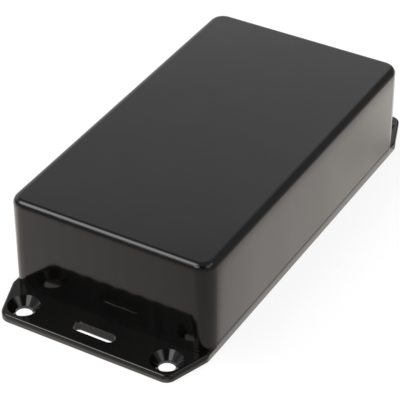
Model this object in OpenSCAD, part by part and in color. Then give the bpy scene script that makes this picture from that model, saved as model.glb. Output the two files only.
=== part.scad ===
// Flanged project box in gloss black ABS: a deep case that closes onto a flanged lid, fixed by four
// countersunk screws driven from below. The lid is the mounting plate.
// The origin is the middle of the mounting face. X runs along the box and Z away from the surface.

/* [Case] */
// Length of the case
case_l = 113; // [90:1:160]
// Width of the case
case_w = 62; // [50:1:100]
// Height of the case from its rim to its closed top
case_h = 27.5; // [20:0.5:60]
// Thickness of the side walls
wall = 2.3; // [2:0.1:2.8]
// Thickness of the closed top
top_t = 2.4; // [1.6:0.1:3.6]
// Radius of the upright corners
corner_r = 4.5; // [4:0.1:6]
// Radius of the rolled edge round the closed top
top_edge_r = 2; // [0.8:0.1:2.4]
// Radius of the small edge round the rim
rim_edge_r = 0.25; // [0.1:0.05:0.5]
// Radius inside, where the walls meet the closed top
inner_edge_r = 0.8; // [0.4:0.1:1]

/* [Lap joint] */
// Thickness of the lid's tongue
tongue_t = 1.1; // [0.8:0.1:1.3]
// Height of the tongue above the lid
tongue_h = 2; // [1:0.1:3]
// Clearance on every side of the tongue in its rebate
tongue_gap = 0.1; // [0.05:0.05:0.3]

/* [Screw columns] */
// Radius of a screw column
column_r = 4; // [3.6:0.1:5]
// How far the round of a column runs into the two walls beside it
column_bite = 0.6; // [0.2:0.1:1]
// Radius at the foot of a column's bore, below the insert
column_bore_r = 1.9; // [1.8:0.1:2.3]
// Depth of a column's bore from the rim
column_bore_h = 12; // [11:0.5:16]

/* [Card guides] */
// Space between the two ribs of a guide, for a 1.6 mm board
guide_slot = 2; // [1.6:0.1:3]
// Thickness of a rib
rib_t = 1.2; // [0.8:0.1:1.6]
// How far a rib stands out from the wall
rib_out = 1.8; // [1:0.1:2.5]
// Distance between guides on the side walls
guide_pitch = 15; // [10:0.5:25]
// Distance between guides on the end walls
end_pitch = 5.3; // [5:0.1:12]
// Space between the rim and the open end of a guide
guide_foot = 4; // [3.5:0.5:8]
// Least space between a guide and the nearest screw column
guide_clear = 3; // [2:0.5:6]

/* [Board standoffs] */
// Distance between standoffs along the box
standoff_x = 86; // [60:1:90]
// Distance between standoffs across the box
standoff_y = 36; // [24:1:38]
// Height of a standoff
standoff_h = 5; // [3:0.5:8]
// Radius of a standoff
standoff_r = 3; // [2.4:0.1:3.5]
// Radius of the pilot hole in a standoff
pilot_r = 1.2; // [0.9:0.1:1.5]
// Radius of the web at the root of a standoff
standoff_web = 1; // [0.5:0.1:1.5]

/* [Lid] */
// Thickness of the lid under the case
lid_t = 3; // [2.8:0.1:4]
// Thickness of the flanges
flange_t = 2.5; // [2.4:0.1:2.8]
// Size of the broken edges round the lid
lid_edge = 0.45; // [0.1:0.05:0.8]
// Radius of the corners in the flanges' outline
lid_corner_r = 3.2; // [2:0.1:4]
// How far a flange reaches past the end of the case
flange_out = 12.9; // [11.8:0.1:20]
// How much a flange narrows on each side by its end
flange_taper = 4.7; // [3:0.1:7]

/* [Mounting holes] */
// Distance from the end of the case to the holes and the slot
hole_out = 7; // [5.5:0.1:8]
// Distance from the side of a flange's end to the holes
hole_side = 3.8; // [3.5:0.1:8]
// Diameter of a mounting hole
hole_d = 4.8; // [4:0.1:5.4]
// Diameter of a mounting hole's countersink at the face
hole_csk_d = 9.1; // [8:0.1:9.6]
// Angle of every countersink
csk_angle = 90; // [84:1:100]
// Length of the cross slot
slot_l = 13; // [8:0.5:20]
// Width of the cross slot
slot_w = 3.3; // [3:0.1:4.5]

/* [Lid screws] */
// Diameter of a screw's thread
screw_d = 3.5; // [3:0.1:3.5]
// Diameter of a screw's head
screw_head_d = 6.8; // [6.2:0.1:7.2]
// Thickness of a head at its edge
head_band = 0.25; // [0.1:0.05:0.4]
// Length of a screw over its head
screw_l = 10; // [9:0.5:12]
// Depth of a screw's head below the mounting face
screw_sink = 0.15; // [0.05:0.05:0.4]
// Clearance round a screw in the lid
screw_gap = 0.2; // [0.1:0.05:0.3]
// Span of the cross recess in a screw's head
recess_span = 3.8; // [3:0.1:4.4]
// Width of the cross recess
recess_w = 0.9; // [0.6:0.1:1.2]
// Depth of the cross recess
recess_h = 1.6; // [1:0.1:2]

/* [Threaded inserts] */
// Radius of an insert over its bands
insert_r = 2.5; // [2.4:0.05:2.8]
// Length of an insert
insert_h = 6; // [4:0.5:8]
// Depth of an insert's end below the rim
insert_sink = 0.3; // [0.1:0.1:0.8]
// Depth of the groove between an insert's bands
insert_groove = 0.3; // [0.1:0.05:0.4]
// Clearance round a screw's thread in its insert
thread_gap = 0.05; // [0.02:0.01:0.1]

/* [Hidden] */
$fn = 64;
cut = 1;                                        // how far a cutting shape runs past a face
bite = 0.4;                                     // how far joined shapes run into each other
arc_ease = 0.01;                                // how far the flanges' corner arcs stand proud of tangent
flange_set = 0.05;                              // how far the flange plate's sides lie in from the lid's
rim_z = lid_t;                                  // the case's rim sits on the lid
top_z = rim_z + case_h;                         // outside of the closed top
ceiling_z = top_z - top_t;                      // inside of the closed top
inner_x = case_l / 2 - wall;                    // inner face of an end wall
inner_y = case_w / 2 - wall;                    // inner face of a side wall
flange_end = case_l / 2 + flange_out;           // outer edge of a flange
flange_w = case_w - 2 * flange_taper;           // width of a flange's end
flange_y = case_w / 2 - flange_set;             // half the width of a flange where it leaves the case
hole_x = case_l / 2 + hole_out;
hole_y = flange_w / 2 - hole_side;
column_x = inner_x + column_bite - column_r;
column_y = inner_y + column_bite - column_r;
insert_top = rim_z + insert_sink + insert_h;
csk_slope = tan(csk_angle / 2);                 // radius that a countersink gains in 1 mm of depth
guide_w = guide_slot + 2 * rib_t;               // over both ribs of a guide
screw_mouth_d = screw_head_d + 2 * (screw_sink + head_band) * csk_slope;
insert_bore_r = screw_d / 2 + thread_gap;

flange_outline = [
    [case_l / 2, flange_y], [-case_l / 2, flange_y],
    [-flange_end, flange_w / 2], [-flange_end, -flange_w / 2],
    [-case_l / 2, -flange_y], [case_l / 2, -flange_y],
    [flange_end, -flange_w / 2], [flange_end, flange_w / 2]
];

function rectangle(l, w) = [[l / 2, w / 2], [-l / 2, w / 2], [-l / 2, -w / 2], [l / 2, -w / 2]];

// Inward normal of the edge from a to b, in an outline that runs anticlockwise.
function inward(a, b) = [a.y - b.y, b.x - a.x] / norm(b - a);

// Centre of the arc of radius r that rounds corner i of a convex outline.
function arc_centre(outline, i, r) =
    let (n = len(outline), here = outline[i])
    let (before = inward(outline[(i + n - 1) % n], here), after = inward(here, outline[(i + 1) % n]))
    here + r * (before + after) / (1 + before * after);

// Direction in degrees of the outward normal of the edge from a to b.
function facing(a, b) = let (n = -inward(a, b)) atan2(n.y, n.x);

// Section of what comes off an upright face at x = 0 to roll the edges at its top and foot.
module rolled_trim(h, top_r, foot_r = 0) {
    translate([-top_r, h - top_r]) difference() {
        square(top_r + cut);
        circle(top_r);
    }
    if (foot_r > 0) {
        translate([-foot_r, foot_r]) mirror([0, 1]) difference() {
            square(foot_r + cut);
            circle(foot_r);
        }
    }
}

// Section of what comes off an upright face at x = 0 to break the edges at its top and foot.
module broken_trim(h, top_c, foot_c) {
    top_far = top_c + cut;
    foot_far = foot_c + cut;
    polygon([[-top_far, h + cut], [cut, h - top_far], [cut, h + cut]]);
    polygon([[-foot_far, -cut], [cut, -cut], [cut, foot_far]]);
}

// Block on a convex outline, with round corners of radius r. A child, if there is one, is the section to
// trim off its edges: it runs straight along each side and turns round each corner. An ease above 0 sets
// the corner arcs that much proud of tangent, so that they cross sloping sides at a definite line.
module trimmed_block(outline, r, h, ease = 0) {
    n = len(outline);
    difference() {
        linear_extrude(h) polygon(outline);
        for (i = [0:n - 1]) {
            a = outline[i];
            b = outline[(i + 1) % n];
            c = outline[(i + 2) % n];
            turn = (facing(b, c) - facing(a, b) + 360) % 360;
            centre = arc_centre(outline, (i + 1) % n, r - ease);
            waste = r / cos(turn / 2) - r + cut;
            if ($children > 0) {
                translate([b.x, b.y, 0]) rotate([90, 0, facing(a, b)])
                    translate([0, 0, -cut]) linear_extrude(norm(b - a) + 2 * cut) children();
            }
            translate([centre.x, centre.y, 0]) rotate(facing(a, b)) rotate_extrude(angle = turn)
                translate([r, 0]) {
                    translate([0, -cut]) square([waste, h + 2 * cut]);
                    children();
                }
        }
    }
}

// Straight-sided block that stays the same distance inside the walls' outer faces all round.
module inset_block(inset, h) {
    outline = rectangle(case_l - 2 * inset, case_w - 2 * inset);
    trimmed_block(outline, corner_r - inset, h);
}

// Puts its children at all four corners, mirrored so that their +X and +Y point out of the box.
module at_corners(x, y) {
    for (mx = [0, 1], my = [0, 1]) {
        mirror([mx, 0, 0]) mirror([0, my, 0]) translate([x, y, 0]) children();
    }
}

// The open box before anything is added inside it.
module case_walls() {
    outside = rectangle(case_l, case_w);
    inside = rectangle(2 * inner_x, 2 * inner_y);
    inside_h = ceiling_z - rim_z + cut;
    difference() {
        translate([0, 0, rim_z])
            trimmed_block(outside, corner_r, case_h) rolled_trim(case_h, top_edge_r, rim_edge_r);
        translate([0, 0, rim_z - cut])
            trimmed_block(inside, corner_r - wall, inside_h) rolled_trim(inside_h, inner_edge_r);
    }
}

// Four columns that take the lid screws. A web fills the corner behind the round of each.
module screw_columns() {
    h = ceiling_z - rim_z + bite;
    web = [case_l / 2 - column_x, case_w / 2 - column_y, h];
    translate([0, 0, rim_z]) intersection() {
        inset_block(wall - bite, h);
        at_corners(column_x, column_y) {
            cylinder(h = h, r = column_r);
            cube(web);
        }
    }
}

// Seat of an insert and the narrower bore past it, which gives the screw's end room.
module column_bore() {
    translate([0, 0, rim_z - cut]) cylinder(h = insert_top - rim_z + cut, r = insert_r);
    translate([0, 0, rim_z]) cylinder(h = column_bore_h, r = column_bore_r);
}

// Two ribs that hold the edge of a board. They stand on a wall at y = 0 and slope open at the foot.
module card_guide() {
    foot = rim_z + guide_foot;
    head = ceiling_z + bite;
    section = [[-bite, foot], [0, foot], [rib_out, foot + rib_out], [rib_out, head], [-bite, head]];
    for (side = [-1, 1]) {
        translate([side * (guide_slot + rib_t) / 2 - rib_t / 2, 0, 0])
            rotate([90, 0, 90]) linear_extrude(rib_t) polygon(section);
    }
}

// Guides in matching rows on two facing walls, as many as fit between the screw columns.
module guide_rows(wall_y, pitch, room) {
    count = 1 + floor((room - guide_w) / pitch);
    for (i = [0:count - 1], turn = [0, 180]) {
        rotate(turn) translate([(i - (count - 1) / 2) * pitch, -wall_y, 0]) card_guide();
    }
}

// Standoff for a board screw, hanging from the closed top on a sloping root.
module standoff() {
    root = standoff_web + bite;
    translate([0, 0, ceiling_z - standoff_h]) cylinder(h = standoff_h + bite, r = standoff_r);
    translate([0, 0, ceiling_z - standoff_web])
        cylinder(h = root, r1 = standoff_r, r2 = standoff_r + root);
}

// Rebate round the inside of the rim, which takes the lid's tongue.
module tongue_rebate() {
    h = cut + tongue_h + tongue_gap;
    translate([0, 0, rim_z - cut]) difference() {
        inset_block(wall - tongue_t - tongue_gap, h);
        translate([0, 0, -cut]) inset_block(wall + tongue_gap, h + 2 * cut);
    }
}

module case_shell() {
    color("#161618") difference() {
        union() {
            case_walls();
            screw_columns();
            guide_rows(inner_y, guide_pitch, 2 * (column_x - column_r - guide_clear));
            rotate(90) guide_rows(inner_x, end_pitch, 2 * (column_y - column_r - guide_clear));
            at_corners(standoff_x / 2, standoff_y / 2) standoff();
        }
        tongue_rebate();
        at_corners(column_x, column_y) column_bore();
        at_corners(standoff_x / 2, standoff_y / 2)
            translate([0, 0, ceiling_z - standoff_h - cut]) cylinder(h = standoff_h + cut, r = pilot_r);
    }
}

// Tongue that stands on the lid and enters the rim's rebate, flush with the walls' inner faces.
module lid_tongue() {
    h = bite + tongue_h;
    translate([0, 0, lid_t - bite]) difference() {
        inset_block(wall - tongue_t, h);
        translate([0, 0, -cut]) inset_block(wall, h + 2 * cut);
    }
}

// Hole through the lid or a flange with its countersink opening downwards at z = 0.
module countersunk_hole(d, mouth_d) {
    depth = (mouth_d - d) / 2 / csk_slope;
    translate([0, 0, -cut]) {
        cylinder(h = lid_t + 2 * cut, d = d);
        cylinder(h = depth + cut, d1 = mouth_d + 2 * cut * csk_slope, d2 = d);
    }
}

// Slot across a flange, which lets the box be set level on its second screw.
module cross_slot() {
    straight = slot_l - slot_w;
    translate([0, 0, -cut]) linear_extrude(lid_t + 2 * cut) {
        square([slot_w, straight], center = true);
        for (end = [-1, 1]) translate([0, end * straight / 2]) circle(d = slot_w);
    }
}

// The lid: a plate under the case, a thinner one that runs through it and forms both flanges, and the
// tongue.
module flanged_lid() {
    color("#161618") difference() {
        union() {
            trimmed_block(flange_outline, lid_corner_r, flange_t, arc_ease)
                broken_trim(flange_t, lid_edge, lid_edge);
            trimmed_block(rectangle(case_l, case_w), corner_r, lid_t)
                broken_trim(lid_t, rim_edge_r, lid_edge);
            lid_tongue();
        }
        at_corners(hole_x, hole_y)
            translate([0, 0, flange_t]) mirror([0, 0, 1]) countersunk_hole(hole_d, hole_csk_d);
        at_corners(column_x, column_y) countersunk_hole(screw_d + 2 * screw_gap, screw_mouth_d);
        for (end = [-1, 1]) translate([end * hole_x, 0, 0]) cross_slot();
    }
}

// One tapered blade of the driver's cross, with its wide end at the mounting face.
module recess_blade() {
    narrow = recess_span / 4;
    mouth = recess_span / 2;
    rotate([90, 0, 0]) linear_extrude(recess_w, center = true)
        polygon([[-mouth, 0], [mouth, 0], [narrow, screw_sink + recess_h], [-narrow, screw_sink + recess_h]]);
}

module lid_screw() {
    r = screw_d / 2;
    head_r = screw_head_d / 2;
    neck = screw_sink + head_band + (head_r - r) / csk_slope;
    end = screw_sink + screw_l;
    point = r / 4;
    section = [
        [0, screw_sink], [head_r, screw_sink], [head_r, screw_sink + head_band],
        [r, neck], [r, end - point], [r - point, end], [0, end]
    ];
    difference() {
        rotate_extrude() polygon(section);
        for (turn = [0, 90]) rotate(turn) recess_blade();
    }
}

module lid_screws() {
    color("#b9bcc0") at_corners(column_x, column_y) lid_screw();
}

// Brass insert with a band at each end and a groove between them that locks it in the moulding.
module threaded_insert() {
    foot = rim_z + insert_sink;
    band = insert_h / 3;
    groove_r = insert_r - insert_groove;
    rotate_extrude() polygon([
        [insert_bore_r, foot], [insert_r, foot], [insert_r, foot + band], [groove_r, foot + band],
        [groove_r, insert_top - band], [insert_r, insert_top - band], [insert_r, insert_top],
        [insert_bore_r, insert_top]
    ]);
}

module threaded_inserts() {
    color("#c9a64a") at_corners(column_x, column_y) threaded_insert();
}

case_shell();
flanged_lid();
lid_screws();
threaded_inserts();
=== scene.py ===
import math

import bpy
from mathutils import Matrix, Vector


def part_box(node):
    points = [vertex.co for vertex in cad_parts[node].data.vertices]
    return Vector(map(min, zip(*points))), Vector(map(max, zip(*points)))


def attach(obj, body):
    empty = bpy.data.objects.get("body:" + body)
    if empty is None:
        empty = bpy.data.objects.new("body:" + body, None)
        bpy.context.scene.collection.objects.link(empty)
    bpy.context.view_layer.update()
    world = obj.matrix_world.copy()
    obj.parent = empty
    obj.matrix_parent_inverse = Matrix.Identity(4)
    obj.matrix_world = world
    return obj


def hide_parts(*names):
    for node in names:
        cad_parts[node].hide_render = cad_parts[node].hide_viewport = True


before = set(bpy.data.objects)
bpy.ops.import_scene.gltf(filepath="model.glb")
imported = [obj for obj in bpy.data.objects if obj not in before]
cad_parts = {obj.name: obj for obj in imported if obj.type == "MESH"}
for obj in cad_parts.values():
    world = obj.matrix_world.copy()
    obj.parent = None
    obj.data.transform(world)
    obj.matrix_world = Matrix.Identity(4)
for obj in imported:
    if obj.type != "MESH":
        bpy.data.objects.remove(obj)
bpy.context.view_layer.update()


# Case shell: one piece of black ABS, moulded in a polished tool with its open side down. Gates at the
# top leave faint flow haze down the walls, and handling leaves hairline scratches and a little dust.
case_low, case_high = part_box("case_shell")
rib_pitch, rib_start, rib_reach, sink_depth = 0.0053, 0.00125, 0.0235, 0.0000088
draft_slope, skin_depth = 0.0113, 0.0005


def step(tree, kind, inputs=None, **settings):
    """One node of a tree. Its inputs are given by name or number, as values or as another node's output."""
    made = tree.nodes.new(kind)
    for key, value in settings.items():
        setattr(made, key, value)
    for key, value in (inputs or {}).items():
        if isinstance(value, bpy.types.NodeSocket):
            tree.links.new(value, made.inputs[key])
        else:
            made.inputs[key].default_value = value
    return made


def sum_of(tree, operation, *values):
    return step(tree, "ShaderNodeMath", dict(enumerate(values)), operation=operation).outputs[0]


def wall_form(tree, place):
    """Height of the skin, in metres: the walls' slight draft, and sink over the ribs inside the end walls."""
    spot = step(tree, "ShaderNodeSeparateXYZ", {0: place})
    away_x, away_y = (sum_of(tree, "ABSOLUTE", spot.outputs[axis]) for axis in "XY")
    turns = sum_of(tree, "MULTIPLY", sum_of(tree, "ADD", spot.outputs["Y"], rib_start),
                   2 * math.pi / rib_pitch)
    in_case = sum_of(tree, "GREATER_THAN", spot.outputs["Z"], case_low.z)
    at_end = sum_of(tree, "GREATER_THAN", away_x, case_high.x - skin_depth)
    past_ribs = sum_of(tree, "MINIMUM",
                       sum_of(tree, "POWER", sum_of(tree, "DIVIDE", away_y, rib_reach), 6.0), 1.0)
    on_ribs = sum_of(tree, "SUBTRACT", 1.0, past_ribs)
    draft = sum_of(tree, "MULTIPLY", sum_of(tree, "MULTIPLY", spot.outputs["Z"], -draft_slope), in_case)
    return sum_of(tree, "MULTIPLY_ADD", sum_of(tree, "MULTIPLY", sum_of(tree, "COSINE", turns), sink_depth),
                  sum_of(tree, "MULTIPLY", sum_of(tree, "MULTIPLY", at_end, in_case), on_ribs), draft)


def gloss_abs(name, haze_axis):
    """Black ABS from a polished mould: haze that runs along one axis, fine scratches, slight sink."""
    abs_black = bpy.data.materials.new(name)
    abs_black.use_nodes = True
    tree = abs_black.node_tree
    skin = tree.nodes["Principled BSDF"]
    place = step(tree, "ShaderNodeTexCoord").outputs["Object"]

    def cloud(scale, stretch, detail=3.0, rough=0.5):
        turn = step(tree, "ShaderNodeMapping", {"Vector": place, "Scale": stretch}).outputs["Vector"]
        return step(tree, "ShaderNodeTexNoise", {"Vector": turn, "Scale": scale, "Detail": detail,
                                                 "Roughness": rough}).outputs["Fac"]

    def spread(value, low, high, out_low, out_high):
        return step(tree, "ShaderNodeMapRange", {"Value": value, "From Min": low, "From Max": high,
                                                 "To Min": out_low, "To Max": out_high}).outputs["Result"]

    streak = [1.0, 1.0, 1.0]
    streak[haze_axis] = 0.16
    haze = spread(cloud(95.0, streak, 4.0, 0.55), 0.35, 0.72, 0.0, 1.0)
    pigment = step(tree, "ShaderNodeMix", {"Factor": haze, "A": (0.0036, 0.0035, 0.0032, 1.0),
                                           "B": (0.0074, 0.0069, 0.0060, 1.0)}, data_type="RGBA")
    dust = step(tree, "ShaderNodeTexVoronoi", {"Vector": place, "Scale": 210.0}).outputs["Distance"]
    speck = sum_of(tree, "MULTIPLY", spread(dust, 0.03, 0.045, 1.0, 0.0),
                   spread(cloud(60.0, (1, 1, 1), 2.0), 0.62, 0.64, 0.0, 1.0))
    dusted = step(tree, "ShaderNodeMix", {"Factor": speck, "A": pigment.outputs["Result"],
                                          "B": (0.16, 0.15, 0.14, 1.0)}, data_type="RGBA")
    tree.links.new(dusted.outputs["Result"], skin.inputs["Base Color"])
    polish = spread(cloud(38.0, (1, 1, 1), 5.0, 0.6), 0.3, 0.7, 0.055, 0.105)
    tree.links.new(polish, skin.inputs["Roughness"])
    skin.inputs["IOR"].default_value = 1.54

    form = step(tree, "ShaderNodeBump", {"Height": wall_form(tree, place), "Strength": 1.0, "Distance": 1.0})
    sink = step(tree, "ShaderNodeBump", {"Height": cloud(26.0, (1, 1, 1), 1.5), "Strength": 0.25,
                                         "Distance": 0.00022, "Normal": form.outputs["Normal"]})
    scratch = step(tree, "ShaderNodeBump", {"Height": cloud(700.0, (1.0, 0.05, 0.4), 2.0), "Strength": 0.12,
                                            "Distance": 0.00001, "Normal": sink.outputs["Normal"]})
    tree.links.new(scratch.outputs["Normal"], skin.inputs["Normal"])
    return abs_black


case_black = gloss_abs("case_gloss_abs", 2)
for body_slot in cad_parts["case_shell"].material_slots:
    body_slot.material = case_black


# Flanged lid: moulded in the same black ABS, 3 mm thick under the case and 2.5 mm in the flanges. It is
# the mounting plate, with countersunk holes and a cross slot in each flange, and a tongue that enters
# the case's rim.
lid_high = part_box("flanged_lid")[1]
half_l, half_w = case_high.x, case_high.y
lid_t, flange_t, tongue_top = case_low.z, 0.0025, lid_high.z
flange_end, flange_half_w, flange_corner_r = lid_high.x, 0.0263, 0.0032
lid_corner_r, edge_r, foot_r, rim_r = 0.0045, 0.0006, 0.0003, 0.00003
flange_set, tongue_inset, inner_inset = 0.00005, 0.0012, 0.0023
tongue_bite, tongue_lead, tongue_ease = 0.0006, 0.0003, 0.0002
hole_x, hole_y, hole_r, hole_mouth_r = 0.0635, 0.0225, 0.0024, 0.00455
slot_half_l, slot_r, lip = 0.0065, 0.00165, 0.00012
screw_x, screw_y, screw_hole_r, screw_mouth_r = 0.0508, 0.0253, 0.00195, 0.0038


def rounded(corners, r, steps=10):
    """Points and outward directions round a convex outline with round corners, anticlockwise."""
    trip = []
    for i, (x, y) in enumerate(corners):
        here, before, after = Vector((x, y)), Vector(corners[i - 1]), Vector(corners[(i + 1) % len(corners)])
        came, goes = (here - before).normalized(), (after - here).normalized()
        first, last = Vector((came.y, -came.x)), Vector((goes.y, -goes.x))
        centre = here - r * (first + last) / (1 + first.dot(last))
        turn = math.acos(first.dot(last))
        for k in range(steps + 1):
            n = Matrix.Rotation(turn * k / steps, 2) @ first
            trip.append((centre + r * n, n))
    return trip


def ring(x, y, steps=64):
    """A point that every section turns about, as a full circle of directions."""
    return [(Vector((x, y)), Vector((math.cos(a), math.sin(a))))
            for a in (2 * math.pi * k / steps for k in range(steps))]


def arc(out, up, r, start, end, steps):
    """Rounded edge in a section, as distances out and up."""
    return [(out + r * math.cos(a), up + r * math.sin(a))
            for a in (math.radians(start + (end - start) * k / steps) for k in range(steps + 1))]


def solid(name, *shapes):
    """Closed mesh of sections carried round outlines. A section that is a loop closes on itself."""
    mesh = bpy.data.meshes.new(name)
    points, faces = [], []
    for trip, section, is_loop in shapes:
        first, count = len(points), len(trip)
        points.extend((p.x + n.x * out, p.y + n.y * out, up) for out, up in section for p, n in trip)
        rows = [[first + k * count + i for i in range(count)] for k in range(len(section))]
        for a, b in zip(rows, rows[1:] + rows[:1] if is_loop else rows[1:]):
            faces.extend((a[i], a[(i + 1) % count], b[(i + 1) % count], b[i]) for i in range(count))
        if not is_loop:
            faces.extend((rows[0][::-1], rows[-1]))
    mesh.from_pydata(points, [], faces)
    mesh.shade_smooth()
    made = bpy.data.objects.new(name, mesh)
    bpy.context.scene.collection.objects.link(made)
    return made


def finished(name, body, joined, cutters):
    """Joins and cuts the blocks of one moulding, and leaves a plain mesh with its flat faces shaded flat."""
    for tool, operation in [(block, "UNION") for block in joined] + [(cutters, "DIFFERENCE")]:
        modifier = body.modifiers.new(tool.name, "BOOLEAN")
        modifier.object, modifier.operation, modifier.solver = tool, operation, "EXACT"
    bpy.context.view_layer.update()
    mesh = bpy.data.meshes.new_from_object(body.evaluated_get(bpy.context.evaluated_depsgraph_get()))
    body.modifiers.clear()
    body.data = mesh
    mesh.set_sharp_from_angle(angle=math.radians(32))
    body.modifiers.new("flat_faces", "WEIGHTED_NORMAL").keep_sharp = True
    bpy.context.view_layer.update()
    body.data = bpy.data.meshes.new_from_object(body.evaluated_get(bpy.context.evaluated_depsgraph_get()))
    body.modifiers.clear()
    body.name = name
    for tool in (*joined, cutters):
        bpy.data.objects.remove(tool)
    return body


box_outline = [(half_l, half_w), (-half_l, half_w), (-half_l, -half_w), (half_l, -half_w)]
root_half_w = half_w - flange_set
flange_outline = [(half_l, root_half_w), (-half_l, root_half_w), (-flange_end, flange_half_w),
                  (-flange_end, -flange_half_w), (-half_l, -root_half_w), (half_l, -root_half_w),
                  (flange_end, -flange_half_w), (flange_end, flange_half_w)]
plate = solid("flange_plate", (rounded(flange_outline, flange_corner_r),
                               arc(-foot_r, foot_r, foot_r, -90, 0, 4)
                               + arc(-edge_r, flange_t - edge_r, edge_r, 0, 90, 8), False))
step_up = solid("case_plate", (rounded(box_outline, lid_corner_r),
                               arc(-foot_r, foot_r, foot_r, -90, 0, 4) + arc(-rim_r, lid_t - rim_r, rim_r, 0,
                                                                             90, 4), False))
tongue = solid("tongue", (rounded(box_outline, lid_corner_r),
                          [(-tongue_inset, lid_t - tongue_bite), (-tongue_inset, tongue_top - tongue_lead),
                           (-tongue_inset - tongue_lead, tongue_top),
                           (-inner_inset + tongue_ease, tongue_top),
                           (-inner_inset, tongue_top - tongue_ease), (-inner_inset, lid_t - tongue_bite)],
                          True))
past = 0.001
mount_hole = [(hole_r + lip, -lip), (hole_r, lip), (hole_r, flange_t - (hole_mouth_r - hole_r)),
              (hole_mouth_r - lip / 2, flange_t - lip / 2), (hole_mouth_r + past / 4, flange_t + past)]
screw_hole = [(screw_mouth_r + past, -past), (screw_hole_r, screw_mouth_r - screw_hole_r),
              (screw_hole_r, lid_t + past)]
cross_slot = [(lip + lip, -lip), (0, lip), (0, flange_t - lip), (lip + lip, flange_t + lip)]
cuts = []
for sx in (-1, 1):
    slot_run = [(Vector((sx * hole_x, side * (slot_half_l - slot_r))) + slot_r * n, n) for side in (1, -1)
                for n in (Vector((math.cos(a), math.sin(a)))
                          for a in (math.pi * (k / 24 + (side < 0)) for k in range(25)))]
    cuts.append((slot_run, cross_slot, False))
    for sy in (-1, 1):
        cuts.append((ring(sx * hole_x, sy * hole_y), mount_hole, False))
        cuts.append((ring(sx * screw_x, sy * screw_y), screw_hole, False))
lid = finished("flanged_lid_moulding", plate, [step_up, tongue], solid("lid_cuts", *cuts))
lid.data.materials.append(gloss_abs("lid_gloss_abs", 0))
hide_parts("flanged_lid")
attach(lid, "root")


# Threaded inserts: turned brass, knurled in two bands with a plain groove between them. They are
# pressed hot into the screw columns and lie just below the rim.
insert_low, insert_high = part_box("threaded_inserts")
insert_r, insert_bore_r, insert_groove = 0.0025, 0.0018, 0.0003


def grow(name, tree, sizes):
    """Runs a geometry tree once with its sizes, and leaves the result as a plain mesh."""
    piece = bpy.data.objects.new(name, bpy.data.meshes.new(name))
    bpy.context.scene.collection.objects.link(piece)
    modifier = piece.modifiers.new(name, "NODES")
    modifier.node_group = tree
    for socket in tree.interface.items_tree:
        if socket.item_type == "SOCKET" and socket.in_out == "INPUT" and socket.name in sizes:
            modifier[socket.identifier] = sizes[socket.name]
    bpy.context.view_layer.update()
    ready = piece.evaluated_get(bpy.context.evaluated_depsgraph_get())
    piece.data = bpy.data.meshes.new_from_object(ready)
    piece.modifiers.remove(modifier)
    return piece


def new_tree(name, sizes):
    """Empty geometry tree with one named input for each size and one for its material."""
    tree = bpy.data.node_groups.new(name, "GeometryNodeTree")
    for label in sizes:
        kind = "NodeSocketMaterial" if label == "Finish" else "NodeSocketFloat"
        tree.interface.new_socket(label, in_out="INPUT", socket_type=kind)
    tree.interface.new_socket("Geometry", in_out="OUTPUT", socket_type="NodeSocketGeometry")
    return tree, tree.nodes.new("NodeGroupInput").outputs


def at_four_corners(tree, shape, sizes):
    """Sets one shape at the four screw columns, joins it up and gives it its finish and its crisp edges."""
    columns = step(tree, "GeometryNodeMeshGrid", {"Size X": sum_of(tree, "MULTIPLY", sizes["Column x"], 2.0),
                                                  "Size Y": sum_of(tree, "MULTIPLY", sizes["Column y"], 2.0),
                                                  "Vertices X": 2, "Vertices Y": 2})
    placed = step(tree, "GeometryNodeInstanceOnPoints",
                  {"Points": columns.outputs["Mesh"], "Instance": shape})
    solid = step(tree, "GeometryNodeRealizeInstances", {"Geometry": placed.outputs["Instances"]})
    smooth = step(tree, "GeometryNodeSetShadeSmooth",
                  {"Geometry": solid.outputs["Geometry"], "Shade Smooth": True})
    fold = step(tree, "GeometryNodeInputMeshEdgeAngle")
    crisp = step(tree, "FunctionNodeCompare", {0: fold.outputs["Unsigned Angle"], 1: math.radians(32)},
                 data_type="FLOAT", operation="GREATER_THAN")
    edged = step(tree, "GeometryNodeSetShadeSmooth", {"Geometry": smooth.outputs["Geometry"],
                                                      "Selection": crisp.outputs["Result"],
                                                      "Shade Smooth": False},
                 domain="EDGE")
    finished = step(tree, "GeometryNodeSetMaterial", {"Geometry": edged.outputs["Geometry"],
                                                      "Material": sizes["Finish"]})
    step(tree, "NodeGroupOutput", {"Geometry": finished.outputs["Geometry"]})


def worn_metal(name, colour, dull, grain):
    """Turned or plated metal: polish that varies in patches and fine turning lines in the surface."""
    metal = bpy.data.materials.new(name)
    metal.use_nodes = True
    tree = metal.node_tree
    skin = tree.nodes["Principled BSDF"]
    skin.inputs["Metallic"].default_value = 1.0
    place = step(tree, "ShaderNodeTexCoord").outputs["Object"]
    patch = step(tree, "ShaderNodeTexNoise", {"Vector": place, "Scale": 900.0, "Detail": 4.0}).outputs["Fac"]
    tone = step(tree, "ShaderNodeMix", {"Factor": patch, "A": (*colour, 1.0), "B": (*dull, 1.0)},
                data_type="RGBA")
    tree.links.new(tone.outputs["Result"], skin.inputs["Base Color"])
    polish = step(tree, "ShaderNodeMapRange", {"Value": patch, "To Min": 0.2, "To Max": 0.42})
    tree.links.new(polish.outputs["Result"], skin.inputs["Roughness"])
    lines = step(tree, "ShaderNodeTexNoise", {"Vector": place, "Scale": grain, "Detail": 2.0}).outputs["Fac"]
    turned = step(tree, "ShaderNodeBump", {"Height": lines, "Strength": 0.2, "Distance": 0.00002})
    tree.links.new(turned.outputs["Normal"], skin.inputs["Normal"])
    return metal


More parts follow.
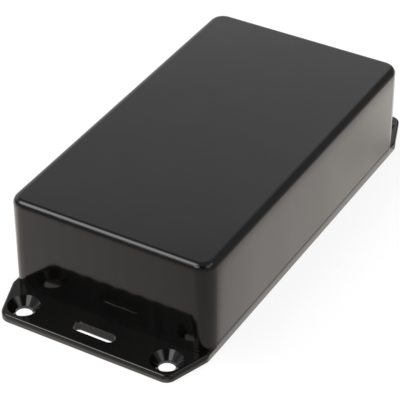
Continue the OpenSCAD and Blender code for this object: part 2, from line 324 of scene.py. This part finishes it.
sizes_of_insert = {
    "Column x": screw_x, "Column y": screw_y, "Foot": insert_low.z, "Height": insert_high.z - insert_low.z,
    "Radius": insert_r, "Bore radius": insert_bore_r, "Groove": insert_groove, "Knurl depth": 0.00016,
    "Finish": worn_metal("turned_brass", (0.80, 0.58, 0.25), (0.62, 0.42, 0.17), 3000.0),
}
tree, sizes = new_tree("knurled_insert", sizes_of_insert)
blank = step(tree, "GeometryNodeMeshCylinder",
             {"Vertices": 144, "Side Segments": 45, "Radius": sizes["Radius"],
                                                "Depth": sizes["Height"]})
spot = step(tree, "ShaderNodeSeparateXYZ", {0: step(tree, "GeometryNodeInputPosition").outputs[0]})
around = sum_of(tree, "ARCTAN2", spot.outputs["Y"], spot.outputs["X"])
reach = sum_of(tree, "SQRT",
               sum_of(tree, "ADD", sum_of(tree, "MULTIPLY", spot.outputs["X"], spot.outputs["X"]),
                                    sum_of(tree, "MULTIPLY", spot.outputs["Y"], spot.outputs["Y"])))
height_share = sum_of(tree, "ABSOLUTE", sum_of(tree, "DIVIDE", spot.outputs["Z"], sizes["Height"]))
climb = sum_of(tree, "MULTIPLY", spot.outputs["Z"], 5200.0)
cross = sum_of(tree, "MULTIPLY",
               sum_of(tree, "ABSOLUTE",
                      sum_of(tree, "SINE", sum_of(tree, "MULTIPLY_ADD", around, 12.0, climb))),
               sum_of(tree, "ABSOLUTE", sum_of(tree, "SINE", sum_of(tree, "SUBTRACT",
                                                                    sum_of(tree, "MULTIPLY", around, 12.0),
                                                                    climb))))
valley = sum_of(tree, "MULTIPLY", sum_of(tree, "SUBTRACT", 1.0, cross), sizes["Knurl depth"])
in_groove = sum_of(tree, "LESS_THAN", height_share, 0.166)
cut = sum_of(tree, "MAXIMUM", sum_of(tree, "MULTIPLY", in_groove, sizes["Groove"]),
             sum_of(tree, "MULTIPLY", valley, sum_of(tree, "LESS_THAN", height_share, 0.49)))
on_side = sum_of(tree, "GREATER_THAN", reach, sum_of(tree, "MULTIPLY", sizes["Radius"], 0.9))
shrink = sum_of(tree, "SUBTRACT", 1.0,
                sum_of(tree, "MULTIPLY", on_side, sum_of(tree, "DIVIDE", cut, sizes["Radius"])))
pressed = step(tree, "ShaderNodeCombineXYZ", {"X": sum_of(tree, "MULTIPLY", spot.outputs["X"], shrink),
                                              "Y": sum_of(tree, "MULTIPLY", spot.outputs["Y"], shrink),
                                              "Z": spot.outputs["Z"]})
knurled = step(tree, "GeometryNodeSetPosition",
               {"Geometry": blank.outputs["Mesh"], "Position": pressed.outputs[0]})
drill = step(tree, "GeometryNodeMeshCylinder", {"Vertices": 48, "Radius": sizes["Bore radius"],
                                                "Depth": sum_of(tree, "MULTIPLY", sizes["Height"], 1.2)})
drilled = step(tree, "GeometryNodeMeshBoolean",
               {"Mesh 1": knurled.outputs["Geometry"], "Mesh 2": drill.outputs["Mesh"]},
               operation="DIFFERENCE")
seat = step(tree, "ShaderNodeCombineXYZ",
            {"Z": sum_of(tree, "MULTIPLY_ADD", sizes["Height"], 0.5, sizes["Foot"])})
seated = step(tree, "GeometryNodeTransform",
              {"Geometry": drilled.outputs["Mesh"], "Translation": seat.outputs[0]})
at_four_corners(tree, seated.outputs["Geometry"], sizes)
inserts = grow("knurled_brass_inserts", tree, sizes_of_insert)
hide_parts("threaded_inserts")
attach(inserts, "root")


# Lid screws: zinc plated steel, flat heads with a cross recess and a rolled thread. They come up
# through the lid from below and draw the case down onto it.
screws_low, screws_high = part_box("lid_screws")
screw_sink, head_band, head_cone = 0.00015, 0.00025, 0.00165
sizes_of_screw = {
    "Column x": screw_x, "Column y": screw_y, "Sink": screws_low.z, "End": screws_high.z,
    "Thread radius": 0.00175, "Thread depth": 0.00035, "Pitch": 0.0006, "Head radius": 0.0034,
                  "Head band": head_band,
    "Neck": screw_sink + head_band + head_cone,
    "Recess span": 0.0038, "Recess width": 0.0009, "Recess depth": 0.0016,
    "Finish": worn_metal("zinc_plate", (0.63, 0.65, 0.68), (0.50, 0.51, 0.53), 2200.0),
}
tree, sizes = new_tree("countersunk_screw", sizes_of_screw)
blank = step(tree, "GeometryNodeMeshCylinder",
             {"Vertices": 64, "Side Segments": 2, "Radius": 1.0, "Depth": 2.0})
spot = step(tree, "ShaderNodeSeparateXYZ", {0: step(tree, "GeometryNodeInputPosition").outputs[0]})
inner_ring = sum_of(tree, "GREATER_THAN", spot.outputs["Z"], 0.5)
outer_ring = sum_of(tree, "LESS_THAN", spot.outputs["Z"], -0.5)
head_r = sum_of(tree, "SUBTRACT", sizes["Head radius"],
                sum_of(tree, "MULTIPLY", inner_ring,
                       sum_of(tree, "SUBTRACT", sizes["Head radius"], sizes["Thread radius"])))
band_z = sum_of(tree, "ADD", sizes["Sink"],
                sum_of(tree, "MULTIPLY", sum_of(tree, "SUBTRACT", 1.0, outer_ring),
                                                   sizes["Head band"]))
head_z = sum_of(tree, "ADD", band_z, sum_of(tree, "MULTIPLY", inner_ring,
                                            sum_of(tree, "SUBTRACT", sizes["Neck"],
                                                   sum_of(tree, "ADD", sizes["Sink"], sizes["Head band"]))))
head_spot = step(tree, "ShaderNodeCombineXYZ", {"X": sum_of(tree, "MULTIPLY", spot.outputs["X"], head_r),
                                                "Y": sum_of(tree, "MULTIPLY", spot.outputs["Y"], head_r),
                                                "Z": head_z})
head = step(tree, "GeometryNodeSetPosition",
            {"Geometry": blank.outputs["Mesh"], "Position": head_spot.outputs[0]})
blade = step(tree, "GeometryNodeMeshCube", {"Size": (2.0, 2.0, 2.0)})
deep = sum_of(tree, "GREATER_THAN", spot.outputs["Z"], 0.0)
blade_x = sum_of(tree, "MULTIPLY", sum_of(tree, "SUBTRACT", 0.5, sum_of(tree, "MULTIPLY", deep, 0.25)),
                 sizes["Recess span"])
blade_z = sum_of(tree, "SUBTRACT",
                 sum_of(tree, "MULTIPLY", deep, sum_of(tree, "ADD", sizes["Sink"], sizes["Recess depth"])),
                 0.00001)
blade_spot = step(tree, "ShaderNodeCombineXYZ", {"X": sum_of(tree, "MULTIPLY", spot.outputs["X"], blade_x),
                                                 "Y": sum_of(tree, "MULTIPLY", spot.outputs["Y"],
                                                             sum_of(tree, "MULTIPLY", sizes["Recess width"],
                                                                    0.5)),
                                                 "Z": blade_z})
one_way = step(tree, "GeometryNodeSetPosition",
               {"Geometry": blade.outputs["Mesh"], "Position": blade_spot.outputs[0]})
other_way = step(tree, "GeometryNodeTransform", {"Geometry": one_way.outputs["Geometry"],
                                                 "Rotation": (0.0, 0.0, math.pi / 2)})
recessed = step(tree, "GeometryNodeMeshBoolean", {"Mesh 1": head.outputs["Geometry"]}, operation="DIFFERENCE")
tree.links.new(one_way.outputs["Geometry"], recessed.inputs["Mesh 2"])
tree.links.new(other_way.outputs["Geometry"], recessed.inputs["Mesh 2"])
root = sum_of(tree, "SUBTRACT", sizes["Neck"], 0.0002)
shank_l = sum_of(tree, "SUBTRACT", sizes["End"], root)
rod = step(tree, "GeometryNodeMeshCylinder",
           {"Vertices": 32, "Side Segments": 110, "Radius": sizes["Thread radius"],
                                              "Depth": shank_l})
angle = sum_of(tree, "ARCTAN2", spot.outputs["Y"], spot.outputs["X"])
turns = sum_of(tree, "SUBTRACT", sum_of(tree, "DIVIDE", spot.outputs["Z"], sizes["Pitch"]),
               sum_of(tree, "DIVIDE", angle, 2 * math.pi))
flank = sum_of(tree, "MULTIPLY",
               sum_of(tree, "ABSOLUTE", sum_of(tree, "SUBTRACT", sum_of(tree, "FRACT", turns), 0.5)), 2.0)
groove = step(tree, "ShaderNodeMapRange", {"Value": flank, 1: 0.12, 2: 0.9, 3: 0.0, 4: sizes["Thread depth"]})
point = step(tree, "ShaderNodeMapRange", {"Value": sum_of(tree, "DIVIDE", spot.outputs["Z"], shank_l),
                                          1: 0.44, 2: 0.5, 3: 0.0,
                                          4: sum_of(tree, "MULTIPLY", sizes["Thread radius"], 0.25)})
thin = sum_of(tree, "DIVIDE", sum_of(tree, "MAXIMUM", groove.outputs[0], point.outputs[0]),
              sizes["Thread radius"])
keep = sum_of(tree, "SUBTRACT", 1.0, thin)
thread_spot = step(tree, "ShaderNodeCombineXYZ", {"X": sum_of(tree, "MULTIPLY", spot.outputs["X"], keep),
                                                  "Y": sum_of(tree, "MULTIPLY", spot.outputs["Y"], keep),
                                                  "Z": spot.outputs["Z"]})
threaded = step(tree, "GeometryNodeSetPosition",
                {"Geometry": rod.outputs["Mesh"], "Position": thread_spot.outputs[0]})
rise = step(tree, "ShaderNodeCombineXYZ", {"Z": sum_of(tree, "MULTIPLY_ADD", shank_l, 0.5, root)})
shank = step(tree, "GeometryNodeTransform",
             {"Geometry": threaded.outputs["Geometry"], "Translation": rise.outputs[0]})
whole = step(tree, "GeometryNodeJoinGeometry")
tree.links.new(recessed.outputs["Mesh"], whole.inputs[0])
tree.links.new(shank.outputs["Geometry"], whole.inputs[0])
at_four_corners(tree, whole.outputs["Geometry"], sizes)
screws = grow("countersunk_lid_screws", tree, sizes_of_screw)
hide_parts("lid_screws")
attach(screws, "root")


# Studio: white acrylic floor and a pale wall behind, one window high on the left and three dim lamps.
# Gloss black shows only what it mirrors, so the floor as seen in reflections carries painted light and shade
# set by place, and the room's light goes by direction.
# The part of the room round the camera is left dark.
floor_mesh = bpy.data.meshes.new("studio_floor")
floor_mesh.from_pydata([(-3, -3, -0.00005), (3, -3, -0.00005), (3, 3, -0.00005), (-3, 3, -0.00005)], [],
                       [(0, 1, 2, 3)])
floor = bpy.data.objects.new("studio_floor", floor_mesh)
bpy.context.scene.collection.objects.link(floor)


def slide(tree, value, stops):
    """Level that follows a value through the given stops, eased between them."""
    low, high = stops[0][0], stops[-1][0]
    peak = max(level for _, level in stops)
    share = step(tree, "ShaderNodeMapRange", {"Value": value, "From Min": low, "From Max": high})
    curve = step(tree, "ShaderNodeFloatCurve", {"Value": share.outputs["Result"]})
    track = curve.mapping.curves[0]
    track.points[0].location = (0.0, stops[0][1] / peak)
    track.points[1].location = (1.0, stops[-1][1] / peak)
    for at, level in stops[1:-1]:
        track.points.new((at - low) / (high - low), level / peak)
    for point in track.points:
        point.handle_type = "AUTO_CLAMPED"
    curve.mapping.update()
    return sum_of(tree, "MULTIPLY", curve.outputs["Value"], peak)


def slanted(tree, along, across, lean, offset):
    """Place along a wall at which the mirrored floor is seen, for light that meets the wall at a slant."""
    return sum_of(tree, "MULTIPLY_ADD", sum_of(tree, "ADD", across, offset), lean, along)


acrylic = bpy.data.materials.new("white_acrylic")
acrylic.use_nodes = True
tree = acrylic.node_tree
tree.nodes.clear()
spot = step(tree, "ShaderNodeSeparateXYZ", {0: step(tree, "ShaderNodeTexCoord").outputs["Object"]})
# Painted reflection: levels of painted light and shade by place on the floor as seen in reflections, for what
# the long wall mirrors, what the near end mirrors, and what the far flange mirrors.
beside_case = slide(tree, slanted(tree, spot.outputs["X"], spot.outputs["Y"], 1.76, half_w), [
    (-0.15, 0.43), (-0.064, 0.47), (-0.0545, 0.50), (-0.052, 0.58), (-0.0502, 0.88), (-0.047, 0.96),
    (-0.038, 1.05), (-0.028, 1.13), (-0.018, 1.12), (-0.008, 1.18), (0.006, 1.18), (0.018, 1.28),
    (0.030, 1.30), (0.041, 1.44), (0.050, 1.58), (0.064, 1.80), (0.2, 1.80)])
before_case = slide(tree, slanted(tree, spot.outputs["Y"], spot.outputs["X"], 0.675, half_l), [
    (-0.15, 0.42), (-0.050, 0.44), (-0.041, 0.50), (-0.034, 0.54), (-0.027, 0.54), (-0.024, 0.575),
    (-0.012, 0.63), (0.0, 0.69), (0.012, 0.755), (0.024, 0.84), (0.028, 0.92), (0.044, 0.98),
    (0.049, 1.14), (0.0535, 1.28), (0.057, 1.35), (0.15, 1.40)])
behind_case = slide(tree, spot.outputs["X"], [(0.0, 1.0), (0.05, 1.0), (0.075, 0.65), (0.2, 0.65)])
from_wall = sum_of(tree, "MULTIPLY_ADD", spot.outputs["Y"], -1.0, -half_w)
# Painted shade: the mirrored floor grows darker away from the long wall.
painted_wall_falloff = slide(tree, from_wall,
             [(0.0, 1.0), (0.0165, 1.0), (0.0185, 0.64), (0.028, 0.57), (0.043, 0.45), (0.073, 0.34),
                               (0.17, 0.6), (0.3, 0.6)])
painted_far_floor_level = slide(tree, from_wall, [(0.0, 0.44), (0.04, 0.44), (0.073, 0.34), (0.17, 0.27), (0.3, 0.27)])
is_beside = step(tree, "ShaderNodeMapRange", {"Value": spot.outputs["Y"], "From Min": -half_w + 0.002,
                                              "From Max": -half_w - 0.002}).outputs["Result"]
open_floor = step(tree, "ShaderNodeMix", {"Factor": is_beside,
                                          "A": sum_of(tree, "MULTIPLY", before_case, behind_case),
                                          "B": sum_of(tree, "MAXIMUM",
                                                      sum_of(tree, "MULTIPLY", beside_case, painted_wall_falloff),
                                                      painted_far_floor_level)}).outputs["Result"]
# Painted shadow: the mirrored floor is darker round the far foot of the case.
far_foot = step(tree, "ShaderNodeVectorMath", {0: step(tree, "ShaderNodeTexCoord").outputs["Object"],
                                               1: (half_l, -half_w, 0.0)}, operation="DISTANCE")
foot_shade = slide(tree, far_foot.outputs["Value"], [(0.0, 0.70), (0.004, 0.73), (0.009, 0.86), (0.013, 0.92),
                                                     (0.025, 1.0), (0.05, 1.0)])
away_x, away_y = (sum_of(tree, "ABSOLUTE", spot.outputs[axis]) for axis in "XY")
slant = Vector((half_w - flange_half_w, flange_end - half_l)).normalized()
outside = sum_of(tree, "MAXIMUM", sum_of(tree, "SUBTRACT", away_x, flange_end),
                 sum_of(tree, "MAXIMUM", sum_of(tree, "SUBTRACT", away_y, half_w),
                        sum_of(tree, "SUBTRACT", sum_of(tree, "MULTIPLY_ADD", away_x, slant.x,
                                                        sum_of(tree, "MULTIPLY", away_y, slant.y)),
                               slant.x * flange_end + slant.y * flange_half_w)))
# Painted highlight and painted shade, seen only in reflections: a bright line of floor along the foot of the
# box, and the shade just past it.
front_shade = slide(tree, outside,
                    [(0.0, 1.0), (0.001, 1.0), (0.0016, 0.72), (0.0019, 0.64), (0.0023, 0.75), (0.003, 1.0)])
side_shade = slide(tree, outside,
                   [(0.0, 1.0), (0.0010, 1.0), (0.0013, 0.95), (0.0016, 0.82), (0.0018, 0.76), (0.0020, 0.86),
                                   (0.0022, 0.95), (0.0026, 1.0), (0.003, 1.0)])
slant_shade = slide(tree, outside, [(0.0, 1.0), (0.0006, 0.88), (0.00125, 0.57), (0.0017, 0.44),
                                    (0.0021, 0.60), (0.003, 1.0)])
on_slant = sum_of(tree, "MULTIPLY", sum_of(tree, "GREATER_THAN", away_x, half_l),
                  sum_of(tree, "GREATER_THAN", away_y, flange_half_w))
seam_shade = step(tree, "ShaderNodeMix",
                  {"Factor": is_beside, "A": front_shade, "B": side_shade}).outputs["Result"]
seam_shade = step(tree, "ShaderNodeMix",
                  {"Factor": on_slant, "A": seam_shade, "B": slant_shade}).outputs["Result"]
seam_light = slide(tree, outside,
                   [(-0.004, 0.0), (-0.0004, 0.0), (0.0, 1.0), (0.0009, 1.0), (0.0016, 0.0), (0.003, 0.0)])
# Painted shade and a painted bright line: the floor seen through the flange's holes and slot, mirrored in the
# near end, is darkened under the flange by place.
hole_floor = slide(tree, spot.outputs["X"], [(-0.07, 0.08), (-0.0641, 0.08), (-0.0638, 0.7), (0.0, 0.7)])
slot_floor = slide(tree, spot.outputs["X"], [(-0.07, 0.05), (-0.0648, 0.05), (-0.0646, 1.3), (-0.0643, 1.3),
                                             (-0.0640, 0.85), (0.0, 0.85)])
by_slot = sum_of(tree, "LESS_THAN", away_y, 0.01)
under_flange = step(tree, "ShaderNodeMix",
                    {"Factor": by_slot, "A": hole_floor, "B": slot_floor}).outputs["Result"]
in_hole = sum_of(tree, "LESS_THAN", outside, -0.0008)
hole_shade = step(tree, "ShaderNodeMix", {"Factor": in_hole, "A": 1.0, "B": under_flange}).outputs["Result"]
open_floor = sum_of(tree, "MULTIPLY", open_floor, hole_shade)
shaded = sum_of(tree, "MULTIPLY", sum_of(tree, "MULTIPLY", open_floor, foot_shade), seam_shade)
# Painted highlight: the bright band along the foot, in what gloss mirrors.
band_level = step(tree, "ShaderNodeMix", {"Factor": on_slant, "A": 1.36, "B": slant_shade}).outputs["Result"]
seen_in_gloss = step(tree, "ShaderNodeMix",
                     {"Factor": seam_light, "A": shaded, "B": band_level}).outputs["Result"]
path = step(tree, "ShaderNodeLightPath")
matt = step(tree, "ShaderNodeBsdfDiffuse", {"Color": (0.86, 0.86, 0.86, 1.0)})
# Painted shade: the far edge of each hole and slot is darkened by place, as if light fell slantwise through
# them.
hole_shift, slot_shift = (0.0006, 0.00035), 0.0002
hole_off_x, hole_off_y = (
    sum_of(tree, "SUBTRACT", sum_of(tree, "ABSOLUTE", sum_of(tree, "ADD", spot.outputs[axis], shift)), middle)
    for axis, shift, middle in (("X", hole_shift[0], hole_x), ("Y", hole_shift[1], hole_y)))
slot_off_x = sum_of(tree, "SUBTRACT",
                    sum_of(tree, "ABSOLUTE", sum_of(tree, "ADD", spot.outputs["X"], slot_shift)),
                    hole_x)
slot_off_y = sum_of(tree, "MAXIMUM", sum_of(tree, "SUBTRACT", away_y, slot_half_l - slot_r), 0.0)
lit_holes = []
for off_x, off_y, reach in ((hole_off_x, hole_off_y, hole_r), (slot_off_x, slot_off_y, slot_r)):
    off = step(tree, "ShaderNodeCombineXYZ", {"X": off_x, "Y": off_y}).outputs[0]
    far = step(tree, "ShaderNodeVectorMath", {0: off}, operation="LENGTH").outputs["Value"]
    lit_holes.append(sum_of(tree, "LESS_THAN", far, reach))
lit_floor = sum_of(tree, "MAXIMUM", sum_of(tree, "MAXIMUM", *lit_holes),
                   sum_of(tree, "SUBTRACT", 1.0, in_hole))
lift = step(tree, "ShaderNodeEmission", {"Strength": sum_of(tree, "MULTIPLY_ADD", lit_floor, 0.83, 0.06)})
faint = step(tree, "ShaderNodeBsdfDiffuse", {"Color": sum_of(tree, "MULTIPLY_ADD", lit_floor, 0.16, 0.02)})
pale = step(tree, "ShaderNodeAddShader", {0: faint.outputs["BSDF"], 1: lift.outputs["Emission"]})
lit = step(tree, "ShaderNodeMixShader",
           {0: path.outputs["Is Camera Ray"], 1: matt.outputs["BSDF"], 2: pale.outputs["Shader"]})
gloss_view = step(tree, "ShaderNodeEmission", {"Color": (1.065, 1.0, 0.94, 1.0), "Strength": seen_in_gloss})
mirrored = sum_of(tree, "MAXIMUM", path.outputs["Is Glossy Ray"], path.outputs["Is Transmission Ray"])
above = step(tree, "ShaderNodeMixShader",
             {0: mirrored, 1: lit.outputs["Shader"], 2: gloss_view.outputs["Emission"]})
clear = step(tree, "ShaderNodeBsdfTransparent")
sheet = step(tree, "ShaderNodeMixShader", {0: step(tree, "ShaderNodeNewGeometry").outputs["Backfacing"],
                                           1: above.outputs["Shader"], 2: clear.outputs["BSDF"]})
step(tree, "ShaderNodeOutputMaterial", {"Surface": sheet.outputs["Shader"]})
floor_mesh.materials.append(acrylic)

world = bpy.data.worlds.new("studio")
bpy.context.scene.world = world
world.use_nodes = True
tree = world.node_tree
tree.nodes.clear()
look = step(tree, "ShaderNodeTexCoord").outputs["Generated"]
split = step(tree, "ShaderNodeSeparateXYZ", {0: look})


def direction(azimuth, elevation):
    a, e = math.radians(azimuth), math.radians(elevation)
    return Vector((math.cos(a) * math.cos(e), math.sin(a) * math.cos(e), math.sin(e)))


def softbox(azimuth, elevation, stops):
    """Light that falls off with the angle in degrees from its middle."""
    dot = step(tree, "ShaderNodeVectorMath", {0: look, 1: direction(azimuth, elevation)},
               operation="DOT_PRODUCT")
    return slide(tree, sum_of(tree, "ARCCOSINE", dot.outputs["Value"]),
                 [(math.radians(a), v) for a, v in stops])


level = sum_of(tree, "SQRT",
               sum_of(tree, "ADD", sum_of(tree, "MULTIPLY", split.outputs["X"], split.outputs["X"]),
                                    sum_of(tree, "MULTIPLY", split.outputs["Y"], split.outputs["Y"])))
wall_way = direction(70, 0)
facing_wall = sum_of(tree, "DIVIDE", sum_of(tree, "MULTIPLY_ADD", split.outputs["X"], wall_way.x,
                                            sum_of(tree, "MULTIPLY", split.outputs["Y"], wall_way.y)),
                     sum_of(tree, "MAXIMUM", level, 0.001))
wall_width = slide(tree, facing_wall,
                   [(-1.0, 0.0), (0.2, 0.0), (0.45, 0.15), (0.6, 0.53), (0.695, 0.70), (0.74, 0.73),
                                       (0.80, 0.77), (0.85, 0.86), (1.0, 0.9)])
wall_height = slide(tree, split.outputs["Z"], [
    (-1.0, 0.6), (0.0, 0.66), (0.35, 0.82), (0.49, 0.88), (0.515, 0.73), (0.5255, 0.60), (0.5446, 0.50),
    (0.5736, 0.43), (0.5948, 0.38), (0.6088, 0.28), (0.62, 0.15), (0.643, 0.03), (0.7, 0.0), (1.0, 0.0)])
past_wall = step(tree, "ShaderNodeVectorMath", {0: look, 1: direction(160, 0)}, operation="DOT_PRODUCT")
wall_stop = slide(tree, past_wall.outputs["Value"],
                  [(-1.0, 1.0), (0.0, 1.0), (0.16, 0.85), (0.42, 0.2), (0.6, 0.05), (1.0, 0.0)])
wall = sum_of(tree, "MULTIPLY", sum_of(tree, "MULTIPLY", wall_width, wall_height), wall_stop)
wall_edge = softbox(15, 38.5, [(0, 0.27), (6, 0.22), (10, 0.12), (15, 0.04), (20, 0.0), (180, 0.0)])
window = softbox(119, 57,
                 [(0, 4.0), (9, 4.0), (13, 3.4), (17, 1.9), (21, 0.8), (25, 0.2), (29, 0.0), (180, 0.0)])
lamp = softbox(168, 45, [(0, 2.5), (8, 2.4), (13, 1.3), (18, 0.1), (22, 0.0), (180, 0.0)])
low_lamp = softbox(-97, 44, [(0, 1.2), (6, 1.12), (10, 0.85), (14, 0.45), (20, 0.1), (26, 0.0), (180, 0.0)])
gloom = softbox(-143, 47, [(0, 0.04), (16, 0.05), (24, 0.22), (30, 0.27), (180, 0.27)])
side_lamp = softbox(-60, 48, [(0, 1.8), (5, 1.5), (9, 0.5), (13, 0.0), (180, 0.0)])
room_glow = sum_of(tree, "ADD", sum_of(tree, "ADD", wall, gloom), sum_of(tree, "ADD", wall_edge, window))
room_glow = sum_of(tree, "ADD", sum_of(tree, "ADD", room_glow, side_lamp),
                   sum_of(tree, "ADD", lamp, low_lamp))
room = step(tree, "ShaderNodeBackground", {"Color": (1.02, 1.0, 1.01, 1.0), "Strength": room_glow})
backdrop = step(tree, "ShaderNodeBackground", {"Color": (1.0, 1.0, 1.0, 1.0)})
shown = step(tree, "ShaderNodeMixShader", {0: step(tree, "ShaderNodeLightPath").outputs["Is Camera Ray"],
                                           1: room.outputs["Background"], 2: backdrop.outputs["Background"]})
step(tree, "ShaderNodeOutputWorld", {"Surface": shown.outputs["Shader"]})


# Camera: a long lens from the front left, a little above, with the near flange at the left.
lens = bpy.data.cameras.new("studio_camera")
lens.lens, lens.sensor_width = 169.47, 36.0
lens.clip_start, lens.clip_end = 0.05, 10.0
camera = bpy.data.objects.new("studio_camera", lens)
bpy.context.scene.collection.objects.link(camera)
azimuth, elevation, roll = math.radians(-59.597), math.radians(36.144), math.radians(0.335)
back = Vector((math.sin(azimuth) * math.cos(elevation), -math.cos(azimuth) * math.cos(elevation),
               math.sin(elevation)))
right = Vector((math.cos(azimuth), math.sin(azimuth), 0.0))
up = back.cross(right)
right, up = math.cos(roll) * right - math.sin(roll) * up, math.sin(roll) * right + math.cos(roll) * up
target = Vector((-0.008838, -0.000583, 0.011625)) + 0.00010 * right - 0.00021 * up
camera.matrix_world = Matrix.Translation(target + 0.53086 * back) @ Matrix((right, up,
                                                                            back)).transposed().to_4x4()
bpy.context.scene.camera = camera
bpy.context.scene.view_settings.view_transform = "Standard"
